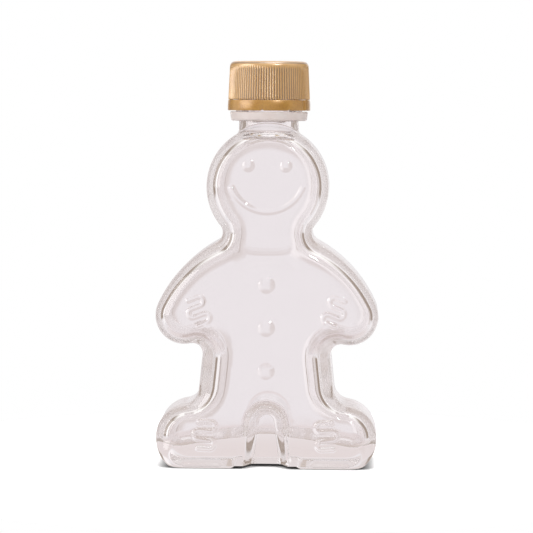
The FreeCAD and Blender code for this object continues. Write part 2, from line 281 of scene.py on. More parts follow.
def smoothNear(bm, near, rounds):
    verts = [v for v in bm.verts if near(v.co)]
    for _ in range(rounds):
        bmesh.ops.smooth_vert(bm, verts=verts, factor=0.5, use_axis_x=True, use_axis_y=True, use_axis_z=True)


# the recess between the legs, front and back
recess = {
    "depth": 7.0, "top": 22.7, "radius": 6.2, "flare": math.radians(7.5), "taper": 2.7,
    "rimBlend": 0.9, "floorBlend": 1.1, "footBlend": 1.6, "reachAside": 16.0, "reachUp": 32.0,
    "fineFrom": 9.0, "fineTop": 30.0, "fineShift": 0.6, "fineReach": 4.2,
}


def archDistance(x, z):
    # how far a point lies outside the recess's arch at the face; inside is less than 0
    hubZ = recess["top"] - recess["radius"]
    x, z = abs(x), z - hubZ
    along = Vector((math.cos(recess["flare"]), math.sin(recess["flare"])))
    if z * along.x > x * along.y:
        return math.hypot(x, z) - recess["radius"]
    return x * along.x + z * along.y - recess["radius"]


def pressRecess(bm, face, grow, floorDepth, blend):
    # the front and back faces go in between the legs
    slope = recess["depth"] / recess["taper"]
    for v in bm.verts:
        near = abs(v.co.x) <= recess["reachAside"] and v.co.z <= recess["reachUp"]
        if not near or abs(v.co.y) < floorDepth - blend:
            continue
        wall = face + slope * (archDistance(v.co.x, v.co.z) - grow)
        target = softMax(floorDepth, wall, blend * recess["footBlend"])
        v.co.y = math.copysign(softMin(abs(v.co.y), target, blend), v.co.y)


# the neck, its bead and the finish under the cap
neck = {
    "radius": 11.2, "bore": 9.0, "rootOut": 2.1, "rootUp": 1.45, "boreRootOut": 6.0, "boreRootUp": 6.5,
    "beadLow": 128.5, "beadHigh": 131.9, "beadRadius": 14.6, "beadTaper": 0.5, "beadRound": 0.6,
    "finishRadius": 12.4, "lipRound": 0.8, "roundSteps": 4, "steps": 120, "rootSteps": 8, "crownFrom": 8.0,
    "fineAbove": 120.0, "fineAround": 15.2,
    "milkyOut": 0.3,
    # heights from the bead's lower side
    "rootTop": -0.15, "tubeStart": -0.1, "outerRims": (-1.0, 0.0),
    "boreTop": 1.4, "boreStart": 1.5, "boreRims": (1.0, 2.0),
}


def crownHeight(x, y, radius, halfDepth, edgeRound):
    over = abs(y) - (halfDepth - edgeRound)
    inset = edgeRound - math.sqrt(edgeRound ** 2 - over ** 2) if over > 0 else 0
    return figure["headHeight"] + math.sqrt((radius - inset) ** 2 - x ** 2)


def openCrown(shell, radius, rise, rootOut, top, halfDepth, edgeRound, shellRadius):
    # cuts a round hole in the crown and raises a soft root up to a tube of that radius
    bm = shell["bm"]
    reach = radius + rootOut
    crown = figure["headHeight"] + neck["crownFrom"]

    def height(x, y):
        return crownHeight(x, y, shellRadius, halfDepth, edgeRound)

    gone = [f for f in bm.faces if f.calc_center_median().z > crown
            and math.hypot(*f.calc_center_median().xy) < reach]
    bmesh.ops.delete(bm, geom=gone, context="FACES")
    ring = walkLoop([e for e in bm.edges if e.is_boundary and min(v.co.z for v in e.verts) > crown])
    for v in ring:
        flat = Vector((v.co.x, v.co.y)).normalized() * reach
        v.co = (flat.x, flat.y, height(flat.x, flat.y))
        v[shell["turn"]] = offWall
    around = set(e.other_vert(v) for v in ring for e in v.link_edges) - set(ring)
    bmesh.ops.smooth_vert(bm, verts=list(around), factor=0.5, use_axis_x=True, use_axis_y=True)
    for v in around:
        v.co.z = height(v.co.x, v.co.y)
        v[shell["turn"]] = offWall
    for k in range(1, neck["rootSteps"] + 1):
        share = k / neck["rootSteps"]
        ring = nextRing(bm, ring)
        for v in ring:
            way = Vector((v.co.x, v.co.y)).normalized()
            outer, inner = way * reach, way * radius
            high, corner = height(outer.x, outer.y), height(inner.x, inner.y)
            r = (1 - share) ** 2 * reach + (1 - (1 - share) ** 2) * radius
            z = (1 - share) ** 2 * high + 2 * share * (1 - share) * corner + share ** 2 * (corner + rise)
            v.co = (way.x * r, way.y * r, z)
    for v in nextRing(bm, ring):
        v.co.z = top


def walkLoop(edges):
    links = {}
    for e in edges:
        for v in e.verts:
            links.setdefault(v, []).append(e)
    start = edges[0].verts[0]
    ring, here, before = [start], start, None
    while True:
        e = next(e for e in links[here] if e is not before)
        here, before = e.other_vert(here), e
        if here is start:
            return ring
        ring.append(here)


# face, buttons, icing and the valley over the chest
relief = {
    "eyeSpread": 6.9, "eyeHeight": 112.1, "eyeRadius": 2.5, "eyeRise": 0.9, "edge": 1.15,
    "smileHeight": 109.3, "smileRadius": 14.1, "smileAngle": math.radians(67),
    "smileHalfWidth": 1.5, "smileRise": 0.62, "smileEdge": 2.0,
    "buttonHeights": (68.2, 52.25, 36.3), "buttonRadius": 3.4, "buttonRise": 1.07,
    "icingHalfWidth": 1.05, "icingRise": 0.75, "icingPitch": 3.3,
    "wrist": {"runs": 4, "length": 3.6, "spread": 25.4, "height": 58.3, "lean": math.radians(22)},
    "ankle": {"runs": 4, "length": 4.2, "spread": 22.6, "height": 12.4, "lean": math.radians(-4)},
    "chestDepth": 0.8, "chestHeadRadius": 23.6, "chestTop": 76.3, "chestRadius": 15.7, "chestHalfWidth": 13.0,
    "chestEvenTo": 7.0, "chestLap": 0.3, "chestLow": 66.0, "chestHigh": 90.0,
    "frontFrom": 10.0, "facesFrom": 11.0, "fineMargin": 1.2,
}


def smileDistance(x, z):
    r = relief
    dz = z - r["smileHeight"]
    angle = min(abs(math.atan2(x, -dz)), r["smileAngle"])
    return math.hypot(abs(x) - r["smileRadius"] * math.sin(angle), dz + r["smileRadius"] * math.cos(angle))


def icingDistance(x, z, band):
    # distance to the middle line of the zigzag; the right one is the left one mirrored
    dx, dz = band["spread"] - abs(x), z - band["height"]
    u = dx * math.cos(band["lean"]) + dz * math.sin(band["lean"])
    v = dz * math.cos(band["lean"]) - dx * math.sin(band["lean"])
    half, pitch = band["length"] / 2, relief["icingPitch"]
    level, nearest = pitch * (band["runs"] - 1) / 2, 99
    for run in range(band["runs"]):
        nearest = min(nearest, math.hypot(max(abs(u) - half, 0), v - level))
        side = 1 if run % 2 == 0 else -1
        if run < band["runs"] - 1 and side * u > half:
            nearest = min(nearest, abs(math.hypot(u - side * half, v - level + pitch / 2) - pitch / 2))
        level -= pitch
    return nearest


def raised(x, z):
    # height of the relief over the face at a place, and how near the place is to any of it
    r = relief
    fromEye = math.hypot(abs(x) - r["eyeSpread"], z - r["eyeHeight"])
    spots = [(fromEye, r["eyeRadius"], r["eyeRise"], r["edge"]),
             (smileDistance(x, z), r["smileHalfWidth"], r["smileRise"], r["smileEdge"]),
             (icingDistance(x, z, r["wrist"]), r["icingHalfWidth"], r["icingRise"], r["edge"]),
             (icingDistance(x, z, r["ankle"]), r["icingHalfWidth"], r["icingRise"], r["edge"])]
    for level in r["buttonHeights"]:
        spots.append((math.hypot(x, z - level), r["buttonRadius"], r["buttonRise"], r["edge"]))
    height = max(rise * hump(distance, radius, edge) for distance, radius, rise, edge in spots)
    return height, min(distance - radius for distance, radius, _, _ in spots)


def chestGroove(x, z):
    # the soft valley between the head's disc and the top of the chest
    r = relief
    if abs(x) > r["chestHalfWidth"] or not r["chestLow"] < z < r["chestHigh"]:
        return 0
    high = figure["headHeight"] - math.sqrt(r["chestHeadRadius"] ** 2 - x * x)
    low = r["chestTop"] - r["chestRadius"] + math.sqrt(r["chestRadius"] ** 2 - x * x)
    middle, half = (high + low) / 2, (high - low) / 2
    aside = smoothStep((abs(x) - r["chestEvenTo"]) / (r["chestHalfWidth"] - r["chestEvenTo"]))
    return r["chestDepth"] * hump(z - middle, half + r["chestLap"], 1.0) * (1 - aside)


# the underside
heel = {
    "blend": 1.3, "lift": 1.1, "lengthways": 35.5, "across": 15.5, "middle": 13.0, "ledge": 2.2, "rise": 3.0,
    "bridge": 12.6, "bridgeLift": 0.95, "bridgeRise": 1.2,
    "top": 3.0, "smoothAside": 13.0, "smoothFrom": 8.0, "smoothRounds": 4,
}


def baseLift(x, y):
    # the base stands on a narrow rim round each foot and is hollowed inside it
    h = heel
    inside = min(h["across"] - abs(y), h["lengthways"] - abs(x), abs(x) - h["middle"])
    bridge = h["bridgeLift"] * smoothStep((h["bridge"] - abs(x)) / h["bridgeRise"])
    return max(h["lift"] * smoothStep((inside - h["ledge"]) / h["rise"]), bridge)


# the hollow inside
cavity = {
    "walls": {"head": 3.7, "throat": 3.9, "shoulder": 5.0, "hand": 3.3,
              "side": 5.6, "ankle": 5.2, "foot": 4.0},
    "faceWall": 3.3, "edgeRound": 5.6, "cornerRound": 5.9,
    "floor": 7.6, "crown": 4.2, "crownSpan": 31.0, "crownBlend": 0.8, "floorBlend": 2.6,
    "spacing": 1.0, "edgeSteps": 10, "wallSteps": 4, "cell": 1.5,
    "wobble": 0.1, "wobbleSize": 11.0, "wobbleTop": 118.0,
    "floorReach": 20.0, "smoothOver": 2.0, "smoothAside": 14.0, "smoothFrom": 6.0, "smoothRounds": 5,
    "fineFrom": 6.0, "fineTop": 32.0, "fineBand": (-3.8, 5.2), "fineAbove": 116.0, "fineAround": 13.5,
}


def cavityFloor(x):
    c = cavity
    radius = (c["crownSpan"] ** 2 + c["crown"] ** 2) / (2 * c["crown"])
    rise = math.sqrt(max(radius ** 2 - x * x, 0)) - radius + c["crown"]
    return c["floor"] + softMax(rise, 0, c["crownBlend"])


def outerSkin():
    f, r, h, n = figure, relief, heel, neck
    shell = newShell()
    bm = shell["bm"]
    ring = layOutline(shell, wholeOutline(halfOutline(f, {})), f["spacing"])
    for side in (-1, 1):
        face = growWall(shell, ring, f["halfDepth"], f["edgeRound"], f["wallSteps"], f["edgeSteps"],
                        side, f["soleRound"])
        fillFace(shell, face, f["cell"] if side < 0 else 2 * f["cell"])
    # finer faces where the relief, the recess's edge and the neck's root need them
    refine(shell, lambda co: co.y < -r["frontFrom"] and raised(co.x, co.z)[1] < r["fineMargin"])
    refine(shell, lambda co: abs(co.y) > recess["fineFrom"] and co.z < recess["fineTop"]
           and abs(archDistance(co.x, co.z) + recess["fineShift"]) < recess["fineReach"])
    refine(shell, lambda co: co.z > n["fineAbove"] and math.hypot(co.x, co.y) < n["fineAround"], 1)
    settle(shell, f["halfDepth"], f["edgeRound"], f["soleRound"])
    bm.normal_update()
    for v in bm.verts:
        x, z = v.co.x, v.co.z
        if v.co.y < -r["frontFrom"]:
            v.co += outward(v, shell) * raised(x, z)[0]
        if abs(v.co.y) > r["facesFrom"]:
            v.co.y -= math.copysign(chestGroove(x, z), v.co.y)
    for v in bm.verts:
        if v.co.z < h["top"]:
            v.co.z = softMax(v.co.z, baseLift(v.co.x, v.co.y), h["blend"])
    pressRecess(bm, f["halfDepth"], 0, f["halfDepth"] - recess["depth"], recess["rimBlend"])
    bmesh.ops.remove_doubles(bm, verts=bm.verts, dist=f["mergeWithin"])
    smoothNear(bm, lambda co: co.z < h["top"] and abs(co.x) < h["smoothAside"]
               and abs(co.y) > h["smoothFrom"], h["smoothRounds"])
    for v in bm.verts:
        v.co.z = max(v.co.z, 0)
    openCrown(shell, n["radius"], n["rootUp"], n["rootOut"], n["beadLow"] + n["rootTop"],
              f["halfDepth"], f["edgeRound"], f["headRadius"])
    return bm


def outward(v, shell):
    # direction away from the wall at a point of the front
    turn = min(v[shell["turn"]], math.pi / 2)
    out = v[shell["out"]]
    if turn >= math.pi / 2 or out.length < 0.5:
        return Vector((0, -1, 0))
    out = out.normalized() * math.cos(turn)
    return Vector((out.x, -math.sin(turn), out.z))


def innerSkin():
    f, c, n = figure, cavity, neck
    halfDepth = f["halfDepth"] - c["faceWall"]
    shell = newShell()
    bm = shell["bm"]
    ring = layOutline(shell, wholeOutline(halfOutline(f, c["walls"], c["cornerRound"])), c["spacing"])
    for side in (-1, 1):
        face = growWall(shell, ring, halfDepth, c["edgeRound"], c["wallSteps"], c["edgeSteps"], side)
        fillFace(shell, face, c["cell"])
    low, high = c["fineBand"]
    refine(shell, lambda co: abs(co.y) > c["fineFrom"] and co.z < c["fineTop"]
           and low < archDistance(co.x, co.z) < high)
    refine(shell, lambda co: co.z > c["fineAbove"] and math.hypot(co.x, co.y) < c["fineAround"], 1)
    settle(shell, halfDepth, c["edgeRound"])
    for v in bm.verts:
        if v.co.z < c["floorReach"]:
            v.co.z = softMax(v.co.z, cavityFloor(v.co.x), c["floorBlend"])
    pressRecess(bm, f["halfDepth"], c["faceWall"], halfDepth - recess["depth"], recess["floorBlend"])
    bmesh.ops.remove_doubles(bm, verts=bm.verts, dist=f["mergeWithin"])
    smoothNear(bm, lambda co: co.z < cavityFloor(co.x) + c["smoothOver"] and abs(co.x) < c["smoothAside"]
               and abs(co.y) > c["smoothFrom"], c["smoothRounds"])
    openCrown(shell, n["bore"], n["boreRootUp"], n["boreRootOut"], n["beadLow"] + n["boreTop"],
              halfDepth, c["edgeRound"], f["headRadius"] - c["walls"]["head"])
    bm.normal_update()
    for v in bm.verts:
        if v.co.z < c["wobbleTop"] and not v.is_boundary:
            v.co += v.normal * noise.noise(v.co / c["wobbleSize"]) * c["wobble"]
    return bm


def neckTube():
    n = neck
    bm = bmesh.new()
    corners = [(n["radius"], n["beadLow"] + n["tubeStart"]), (n["radius"], n["beadLow"]),
               (n["beadRadius"] - n["beadTaper"], n["beadLow"]), (n["beadRadius"], n["beadHigh"]),
               (n["finishRadius"], n["beadHigh"]), (n["finishRadius"], glassHigh.z),
               (n["bore"], glassHigh.z), (n["bore"], n["beadLow"] + n["boreStart"])]
    profile = [bm.verts.new((r, 0, z)) for r, z in corners]
    for pair in zip(profile, profile[1:]):
        bm.edges.new(pair)
    rounded = {2: n["beadRound"], 3: n["beadRound"], 5: n["lipRound"], 6: n["lipRound"]}
    for k, offset in rounded.items():
        bmesh.ops.bevel(bm, geom=[profile[k]], offset=offset, segments=n["roundSteps"], profile=0.5,
                        affect="VERTICES", material=-1)
    bmesh.ops.spin(bm, geom=bm.verts[:] + bm.edges[:], angle=2 * math.pi, steps=n["steps"],
                   axis=(0, 0, 1), use_merge=True)
    return bm


def joinAll(parts):
    whole = bmesh.new()
    for bm in parts:
        mesh = bpy.data.meshes.new("part")
        bm.to_mesh(mesh)
        bm.free()
        whole.from_mesh(mesh)
        bpy.data.meshes.remove(mesh)
    return whole


def finishPiece(bm, name, material, node=None):
    # to metres, smooth shaded, riding on the one body
    bmesh.ops.scale(bm, vec=(mm, mm, mm), verts=bm.verts)
    for face in bm.faces:
        face.smooth = True
    mesh = bpy.data.meshes.new(name)
    bm.to_mesh(mesh)
    bm.free()
    piece = bpy.data.objects.new(name, mesh)
    bpy.context.scene.collection.objects.link(piece)
    mesh.materials.append(material)
    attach(piece, "root")
    if node:
        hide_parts(node)
    return piece


def buildGlass(material, cloudy):
    bm = joinAll([outerSkin(), innerSkin(), neckTube()])
    rims = [e for e in bm.edges if e.is_boundary]
    for below, above in (neck["outerRims"], neck["boreRims"]):
        low, high = neck["beadLow"] + below, neck["beadLow"] + above
        bmesh.ops.bridge_loops(bm, edges=[e for e in rims if all(low < v.co.z < high for v in e.verts)])
    bmesh.ops.recalc_face_normals(bm, faces=bm.faces)
    left = [e for e in bm.edges if not e.is_manifold]
    print("glass: faces", len(bm.faces), "open edges", len(left))
    bottle = finishPiece(bm, "glass_body", material, "glass_bottle")
    bottle.data.materials.append(cloudy)
    slack = 0.05
    for face in bottle.data.polygons:
        x, y, z = face.center / mm
        level = neck["beadLow"] - slack < z < neck["beadHigh"] + slack
        if level and math.hypot(x, y) > neck["radius"] + neck["milkyOut"]:
            face.material_index = 1


# shader nodes: a node with its plain values set, and a wire
def addNode(tree, kind, values=None, **settings):
    node = tree.nodes.new("ShaderNode" + kind)
    for name, value in settings.items():
        setattr(node, name, value)
    for socket, value in (values or {}).items():
        node.inputs[socket].default_value = value
    return node


def sums(tree, operation, *values):
    # a Math node whose inputs are numbers or other sockets
    node = addNode(tree, "Math", operation=operation)
    for socket, value in zip(node.inputs, values):
        if isinstance(value, (int, float)):
            socket.default_value = value
        else:
            tree.links.new(value, socket)
    return node.outputs[0]


def eased(tree, value, low, high, start=0.0, end=1.0):
    node = addNode(tree, "MapRange", {"From Min": low, "From Max": high, "To Min": start, "To Max": end},
                   interpolation_type="SMOOTHSTEP")
    tree.links.new(value, node.inputs["Value"])
    return node.outputs["Result"]


def blended(tree, share, first, second):
    # a colour between two others
    node = addNode(tree, "Mix", data_type="RGBA")
    tree.links.new(share, node.inputs["Factor"])
    for socket, colour in ((node.inputs[6], first), (node.inputs[7], second)):
        if isinstance(colour, tuple):
            socket.default_value = (*colour, 1)
        else:
            tree.links.new(colour, socket)
    return node.outputs[2]


def newGroup(name, inputs, outputs):
    tree = bpy.data.node_groups.new(name, "ShaderNodeTree")
    for label, kind, value in inputs:
        socket = tree.interface.new_socket(name=label, in_out="INPUT", socket_type=kind)
        socket.default_value = value
    for label, kind in outputs:
        tree.interface.new_socket(name=label, in_out="OUTPUT", socket_type=kind)
    return tree, tree.nodes.new("NodeGroupInput").outputs, tree.nodes.new("NodeGroupOutput").inputs


def placeGroup(tree, group, values):
    node = tree.nodes.new("ShaderNodeGroup")
    node.node_tree = group
    for label, value in values.items():
        if isinstance(value, (int, float, tuple)):
            node.inputs[label].default_value = value
        else:
            tree.links.new(value, node.inputs[label])
    return node.outputs


def mottleGroup():
    # soft unevenness at one scale: Shade lies around 0.5, Height is for a bump
    inputs = [("Place", "NodeSocketVector", (0, 0, 0)), ("Size", "NodeSocketFloat", 1.0),
              ("Contrast", "NodeSocketFloat", 1.0)]
    outputs = [("Shade", "NodeSocketFloat"), ("Height", "NodeSocketFloat")]
    tree, ins, outs = newGroup("mottle", inputs, outputs)
    wave = addNode(tree, "TexNoise", {"Detail": 2.0, "Roughness": 0.5})
    tree.links.new(ins["Place"], wave.inputs["Vector"])
    tree.links.new(sums(tree, "DIVIDE", 1.0, ins["Size"]), wave.inputs["Scale"])
    centred = sums(tree, "SUBTRACT", wave.outputs[0], 0.5)
    tree.links.new(sums(tree, "ADD", sums(tree, "MULTIPLY", centred, ins["Contrast"]), 0.5), outs["Shade"])
    tree.links.new(wave.outputs[0], outs["Height"])
    return tree


def flakeGroup():
    # pearl flakes in moulded plastic: each cell has its own brightness
    inputs = [("Place", "NodeSocketVector", (0, 0, 0)), ("Size", "NodeSocketFloat", 0.3 * mm)]
    tree, ins, outs = newGroup("pearlFlakes", inputs, [("Sparkle", "NodeSocketFloat")])
    cells = addNode(tree, "TexVoronoi")
    tree.links.new(ins["Place"], cells.inputs["Vector"])
    tree.links.new(sums(tree, "DIVIDE", 1.0, ins["Size"]), cells.inputs["Scale"])
    split = addNode(tree, "SeparateColor")
    tree.links.new(cells.outputs["Color"], split.inputs[0])
    tree.links.new(split.outputs[0], outs["Sparkle"])
    return tree


def newMaterial(name):
    material = bpy.data.materials.new(name)
    material.use_nodes = True
    tree = material.node_tree
    return material, tree, tree.nodes["Principled BSDF"], addNode(tree, "TexCoord").outputs["Object"]


def clearGlass():
    g = {
        "tint": (0.972, 0.958, 0.966), "deepTint": (0.962, 0.946, 0.955), "index": 1.5,
        "sideRoughness": 0.11, "sideTo": (0.1, 0.9),
        "rippleSize": 9 * mm, "rippleContrast": 1.4, "rippleHeight": 0.02 * mm,
    }
    material, tree, shader, place = newMaterial("clearGlass")
    shader.inputs["Transmission Weight"].default_value = 1
    shader.inputs["IOR"].default_value = g["index"]
    # the side walls are a little uneven, the front and back are smooth
    way = addNode(tree, "SeparateXYZ")
    tree.links.new(addNode(tree, "TexCoord").outputs["Normal"], way.inputs[0])
    facing = sums(tree, "ABSOLUTE", way.outputs["Y"])
    tree.links.new(eased(tree, facing, *g["sideTo"], g["sideRoughness"], 0.0), shader.inputs["Roughness"])
    uneven = placeGroup(tree, mottle, {"Place": place, "Size": g["rippleSize"],
                                       "Contrast": g["rippleContrast"]})
    tree.links.new(blended(tree, uneven["Shade"], g["tint"], g["deepTint"]), shader.inputs["Base Color"])
    bump = addNode(tree, "Bump", {"Strength": 1.0, "Distance": g["rippleHeight"]})
    tree.links.new(uneven["Height"], bump.inputs["Height"])
    tree.links.new(bump.outputs[0], shader.inputs["Normal"])
    return material


def milkyGlass():
    # the bead is cloudy: about half of the light is scattered
    g = {
        "pale": (1.0, 0.93, 0.90), "shaded": (0.94, 0.83, 0.79), "clear": 0.45, "index": 1.5,
        "cloud": 4 * mm, "contrast": 2.0, "rough": (0.35, 0.5),
    }
    material, tree, shader, place = newMaterial("milkyGlass")
    shader.inputs["Transmission Weight"].default_value = g["clear"]
    shader.inputs["IOR"].default_value = g["index"]
    uneven = placeGroup(tree, mottle, {"Place": place, "Size": g["cloud"], "Contrast": g["contrast"]})
    tree.links.new(blended(tree, uneven["Shade"], g["shaded"], g["pale"]), shader.inputs["Base Color"])
    tree.links.new(eased(tree, uneven["Shade"], 0.0, 1.0, *g["rough"]), shader.inputs["Roughness"])
    return material


def pearlGold(name, light, deep, coatIndex, wall=None):
    # wall is for the ribbed cap only: its outside radius and draft, groove depth and ceiling height
    g = {
        "metal": 0.3, "coat": 1.0, "coatRoughness": 0.3, "gloss": 0.30, "rough": 0.42,
        "translucency": 0.3, "depth": 1.6 * mm, "spread": (1.0, 0.8, 0.5),
        "flake": 0.32 * mm, "flakeShare": 0.35, "cloud": 7 * mm, "cloudContrast": 2.2,
        "shadeRange": (0.2, 0.8), "grain": 0.5 * mm, "grainHeight": 0.02 * mm, "grainStrength": 0.6,
        # painted shade: the colour deep in the rib grooves, and the sink over which it fades in and out
        "groove": (0.25, 0.13, 0.04), "grooveShadeFrom": 0.06 * mm, "grooveShadeTo": (0.6 * mm, 0.8 * mm),
        # painted glow: the inside emits pale and gold light that stands for daylight through the wall, over a
        # nearly black base colour
        "inner": (0.95 * mm, 1.1 * mm), "paintedGlowPale": (0.84, 0.80, 0.80), "paintedGlowGold": (0.36, 0.24, 0.10),
        "glowGoldFrom": (0.43, 0.49), "baseUnderGlow": (0.10, 0.09, 0.08),
        "innerTop": (0.2 * mm, 0.4 * mm), "glowPaleFrom": (-0.4 * mm, -0.1 * mm),  # from the ceiling
    }
    material, tree, shader, place = newMaterial(name)
    plain = {
        "Metallic": g["metal"], "Subsurface Weight": g["translucency"], "Subsurface Radius": g["spread"],
        "Subsurface Scale": g["depth"], "Coat Weight": g["coat"], "Coat Roughness": g["coatRoughness"],
        "Coat IOR": coatIndex,
    }
    for label, value in plain.items():
        shader.inputs[label].default_value = value
    cloud = placeGroup(tree, mottle, {"Place": place, "Size": g["cloud"], "Contrast": g["cloudContrast"]})
    sparkle = placeGroup(tree, flakes, {"Place": place, "Size": g["flake"]})["Sparkle"]
    shade = sums(tree, "ADD", sums(tree, "MULTIPLY", cloud["Shade"], 1 - g["flakeShare"]),
                 sums(tree, "MULTIPLY", sparkle, g["flakeShare"]))
    colour = blended(tree, shade, deep, light)
    if wall:
        spot = addNode(tree, "SeparateXYZ")
        tree.links.new(place, spot.inputs[0])
        x, y, z = spot.outputs
        square = sums(tree, "ADD", sums(tree, "MULTIPLY", x, x), sums(tree, "MULTIPLY", y, y))
        reach = sums(tree, "SQRT", square)
        outside = sums(tree, "SUBTRACT", wall["radius"], sums(tree, "MULTIPLY", z, wall["draft"]))
        sunk = sums(tree, "SUBTRACT", outside, reach)
        # painted shade: deep in the rib grooves the colour darkens towards the groove colour, and it stops
        # before the inside wall
        inGroove = eased(tree, sunk, g["grooveShadeFrom"], wall["groove"])
        onWall = eased(tree, sunk, *g["grooveShadeTo"], 1.0, 0.0)
        colour = blended(tree, sums(tree, "MULTIPLY", inGroove, onWall), colour, g["groove"])
        # the inside glows with painted light that stands for daylight through the thin wall: pale, with gold
        # only at its four diagonals
        innerTop = [wall["ceiling"] + offset for offset in g["innerTop"]]
        inside = sums(tree, "MULTIPLY", eased(tree, sunk, *g["inner"]), eased(tree, z, *innerTop, 1.0, 0.0))
        product = sums(tree, "ABSOLUTE", sums(tree, "MULTIPLY", x, y))
        diagonal = sums(tree, "DIVIDE", product, sums(tree, "MULTIPLY", reach, reach))
        glow = blended(tree, eased(tree, diagonal, *g["glowGoldFrom"]), g["paintedGlowPale"], g["paintedGlowGold"])
        glowPaleFrom = [wall["ceiling"] + offset for offset in g["glowPaleFrom"]]
        glow = blended(tree, eased(tree, z, *glowPaleFrom), glow, g["paintedGlowPale"])
        tree.links.new(blended(tree, inside, (0.0, 0.0, 0.0), glow), shader.inputs["Emission Color"])
        shader.inputs["Emission Strength"].default_value = 1
        # under the painted glow the inside's base colour is nearly black, so the lamps add little there
        colour = blended(tree, inside, colour, g["baseUnderGlow"])
    tree.links.new(colour, shader.inputs["Base Color"])
    tree.links.new(eased(tree, shade, *g["shadeRange"], g["rough"], g["gloss"]), shader.inputs["Roughness"])
    fine = placeGroup(tree, mottle, {"Place": place, "Size": g["grain"], "Contrast": 1.0})
    bump = addNode(tree, "Bump", {"Strength": g["grainStrength"], "Distance": g["grainHeight"]})
    tree.links.new(fine["Height"], bump.inputs["Height"])
    tree.links.new(bump.outputs[0], shader.inputs["Normal"])
    return material


# the ribbed cap and its tamper ring; a rounding is its size and its number of steps
closure = {
    "wall": 1.3, "topThickness": 1.5, "topRing": 0.55, "topRound": (1.9, 10), "footRound": (0.25, 3),
    "ribs": 96, "stepsPerRib": 6, "ribDepth": 0.36, "ribTop": 1.75, "ribFade": 1.2, "ribShape": (0.75, 1.1),
    "wallRows": 10, "skin": 0.6, "slack": 0.01,
    "cut": 0.1, "bandSteps": 360, "bandBulge": 0.08, "bandSkin": 0.4,
    "bandOuter": (0.3, 4), "bandEdge": (0.12, 2), "bandInner": (0.3, 3),
    "nibs": 12, "nibWidth": 1.0, "nibThickness": 0.7, "nibOut": 0.35,
    "scoreAngle": 59, "scoreWidth": 0.9, "scoreDepth": 0.55,
    "notches": (32, 71, -8), "notchDepth": 0.3, "notchHeight": 0.5, "notchAngle": 2.5,
}
draft = (bandHigh.x - capHigh.x) / (capLow.z - bandLow.z)  # how much narrower per unit of height
ceiling = capHigh.z - closure["topThickness"]


def wallRadius(z):
    return bandHigh.x - draft * (z - bandLow.z)


def turnedProfile(corners, rounded, steps):
    # a line of points in the XZ plane, some of its corners rounded, turned once round the axis
    bm = bmesh.new()
    line = [bm.verts.new((r, 0, z)) for r, z in corners]
    for pair in zip(line, line[1:]):
        bm.edges.new(pair)
    if corners[0][0] and corners[-1][0]:
        bm.edges.new((line[-1], line[0]))
    for k, (offset, segments) in rounded.items():
        bmesh.ops.bevel(bm, geom=[line[k]], offset=offset, segments=segments, profile=0.5,
                        affect="VERTICES", material=-1)
    bmesh.ops.spin(bm, geom=bm.verts[:] + bm.edges[:], angle=2 * math.pi, steps=steps,
                   axis=(0, 0, 1), use_merge=True)
    bmesh.ops.remove_doubles(bm, verts=bm.verts, dist=1e-4)
    bmesh.ops.recalc_face_normals(bm, faces=bm.faces)
    return bm


def buildCap(material):
    c = closure
    low, high = capLow.z, capHigh.z
    topRadius = wallRadius(high)
    wallTop = high - c["ribTop"]
    rows = [low + (wallTop - low) * k / c["wallRows"] for k in range(c["wallRows"] + 1)]
    corners = [(0, high), (topRadius * c["topRing"], high), (topRadius, high)]
    corners += [(wallRadius(z), z) for z in reversed(rows)]
    foot = len(corners) - 1
    corners += [(wallRadius(z) - c["wall"], z) for z in (low, ceiling)] + [(0, ceiling)]
    rounded = {2: c["topRound"], foot: c["footRound"], foot + 1: c["footRound"]}
    bm = turnedProfile(corners, rounded, c["ribs"] * c["stepsPerRib"])
    for v in bm.verts:
        reach = math.hypot(v.co.x, v.co.y)
        if reach < wallRadius(v.co.z) - c["skin"] or v.co.z > wallTop + c["slack"]:
            continue
        phase = math.atan2(v.co.y, v.co.x) * c["ribs"] / (2 * math.pi)
        groove = smoothStep(c["ribShape"][0] - c["ribShape"][1] * math.cos(2 * math.pi * phase))
        depth = c["ribDepth"] * groove * smoothStep((wallTop - v.co.z) / c["ribFade"])
        v.co.xy *= 1 - depth / reach
    return finishPiece(bm, "cap_shell", material, "screw_cap")


def buildBand(material):
    c = closure
    low, high = bandLow.z, capLow.z - c["cut"]
    outLow, outHigh = wallRadius(low), wallRadius(high)
    middle = (low + high) / 2
    corners = [(outLow, low), (wallRadius(middle) + c["bandBulge"], middle), (outHigh, high),
               (outHigh - c["wall"], high), (outLow - c["wall"], low)]
    rounded = {0: c["bandOuter"], 2: c["bandEdge"], 3: c["bandEdge"], 4: c["bandInner"]}
    bm = turnedProfile(corners, rounded, c["bandSteps"])
    for v in bm.verts:
        reach = math.hypot(v.co.x, v.co.y)
        angle = math.degrees(math.atan2(v.co.x, -v.co.y))
        if reach > outHigh - c["bandSkin"]:
            aside = math.radians(angle - c["scoreAngle"]) * reach
            v.co.xy *= 1 - c["scoreDepth"] * hump(aside, c["scoreWidth"]) / reach
        if v.co.z < low + c["notchHeight"]:
            for place in c["notches"]:
                v.co.z += c["notchDepth"] * hump(angle - place, c["notchAngle"])
    for k in range(c["nibs"]):
        turn = Matrix.Rotation(2 * math.pi * (k + 0.5) / c["nibs"], 4, "Z")
        place = Matrix.Translation((outHigh - (c["wall"] + c["nibThickness"]) / 2 + c["nibOut"], 0, high))
        size = Matrix.Diagonal((c["nibThickness"], c["nibWidth"], 3 * c["cut"], 1))
        bmesh.ops.create_cube(bm, size=1, matrix=turn @ place @ size)
    return finishPiece(bm, "tamper_ring", material, "tamper_band")


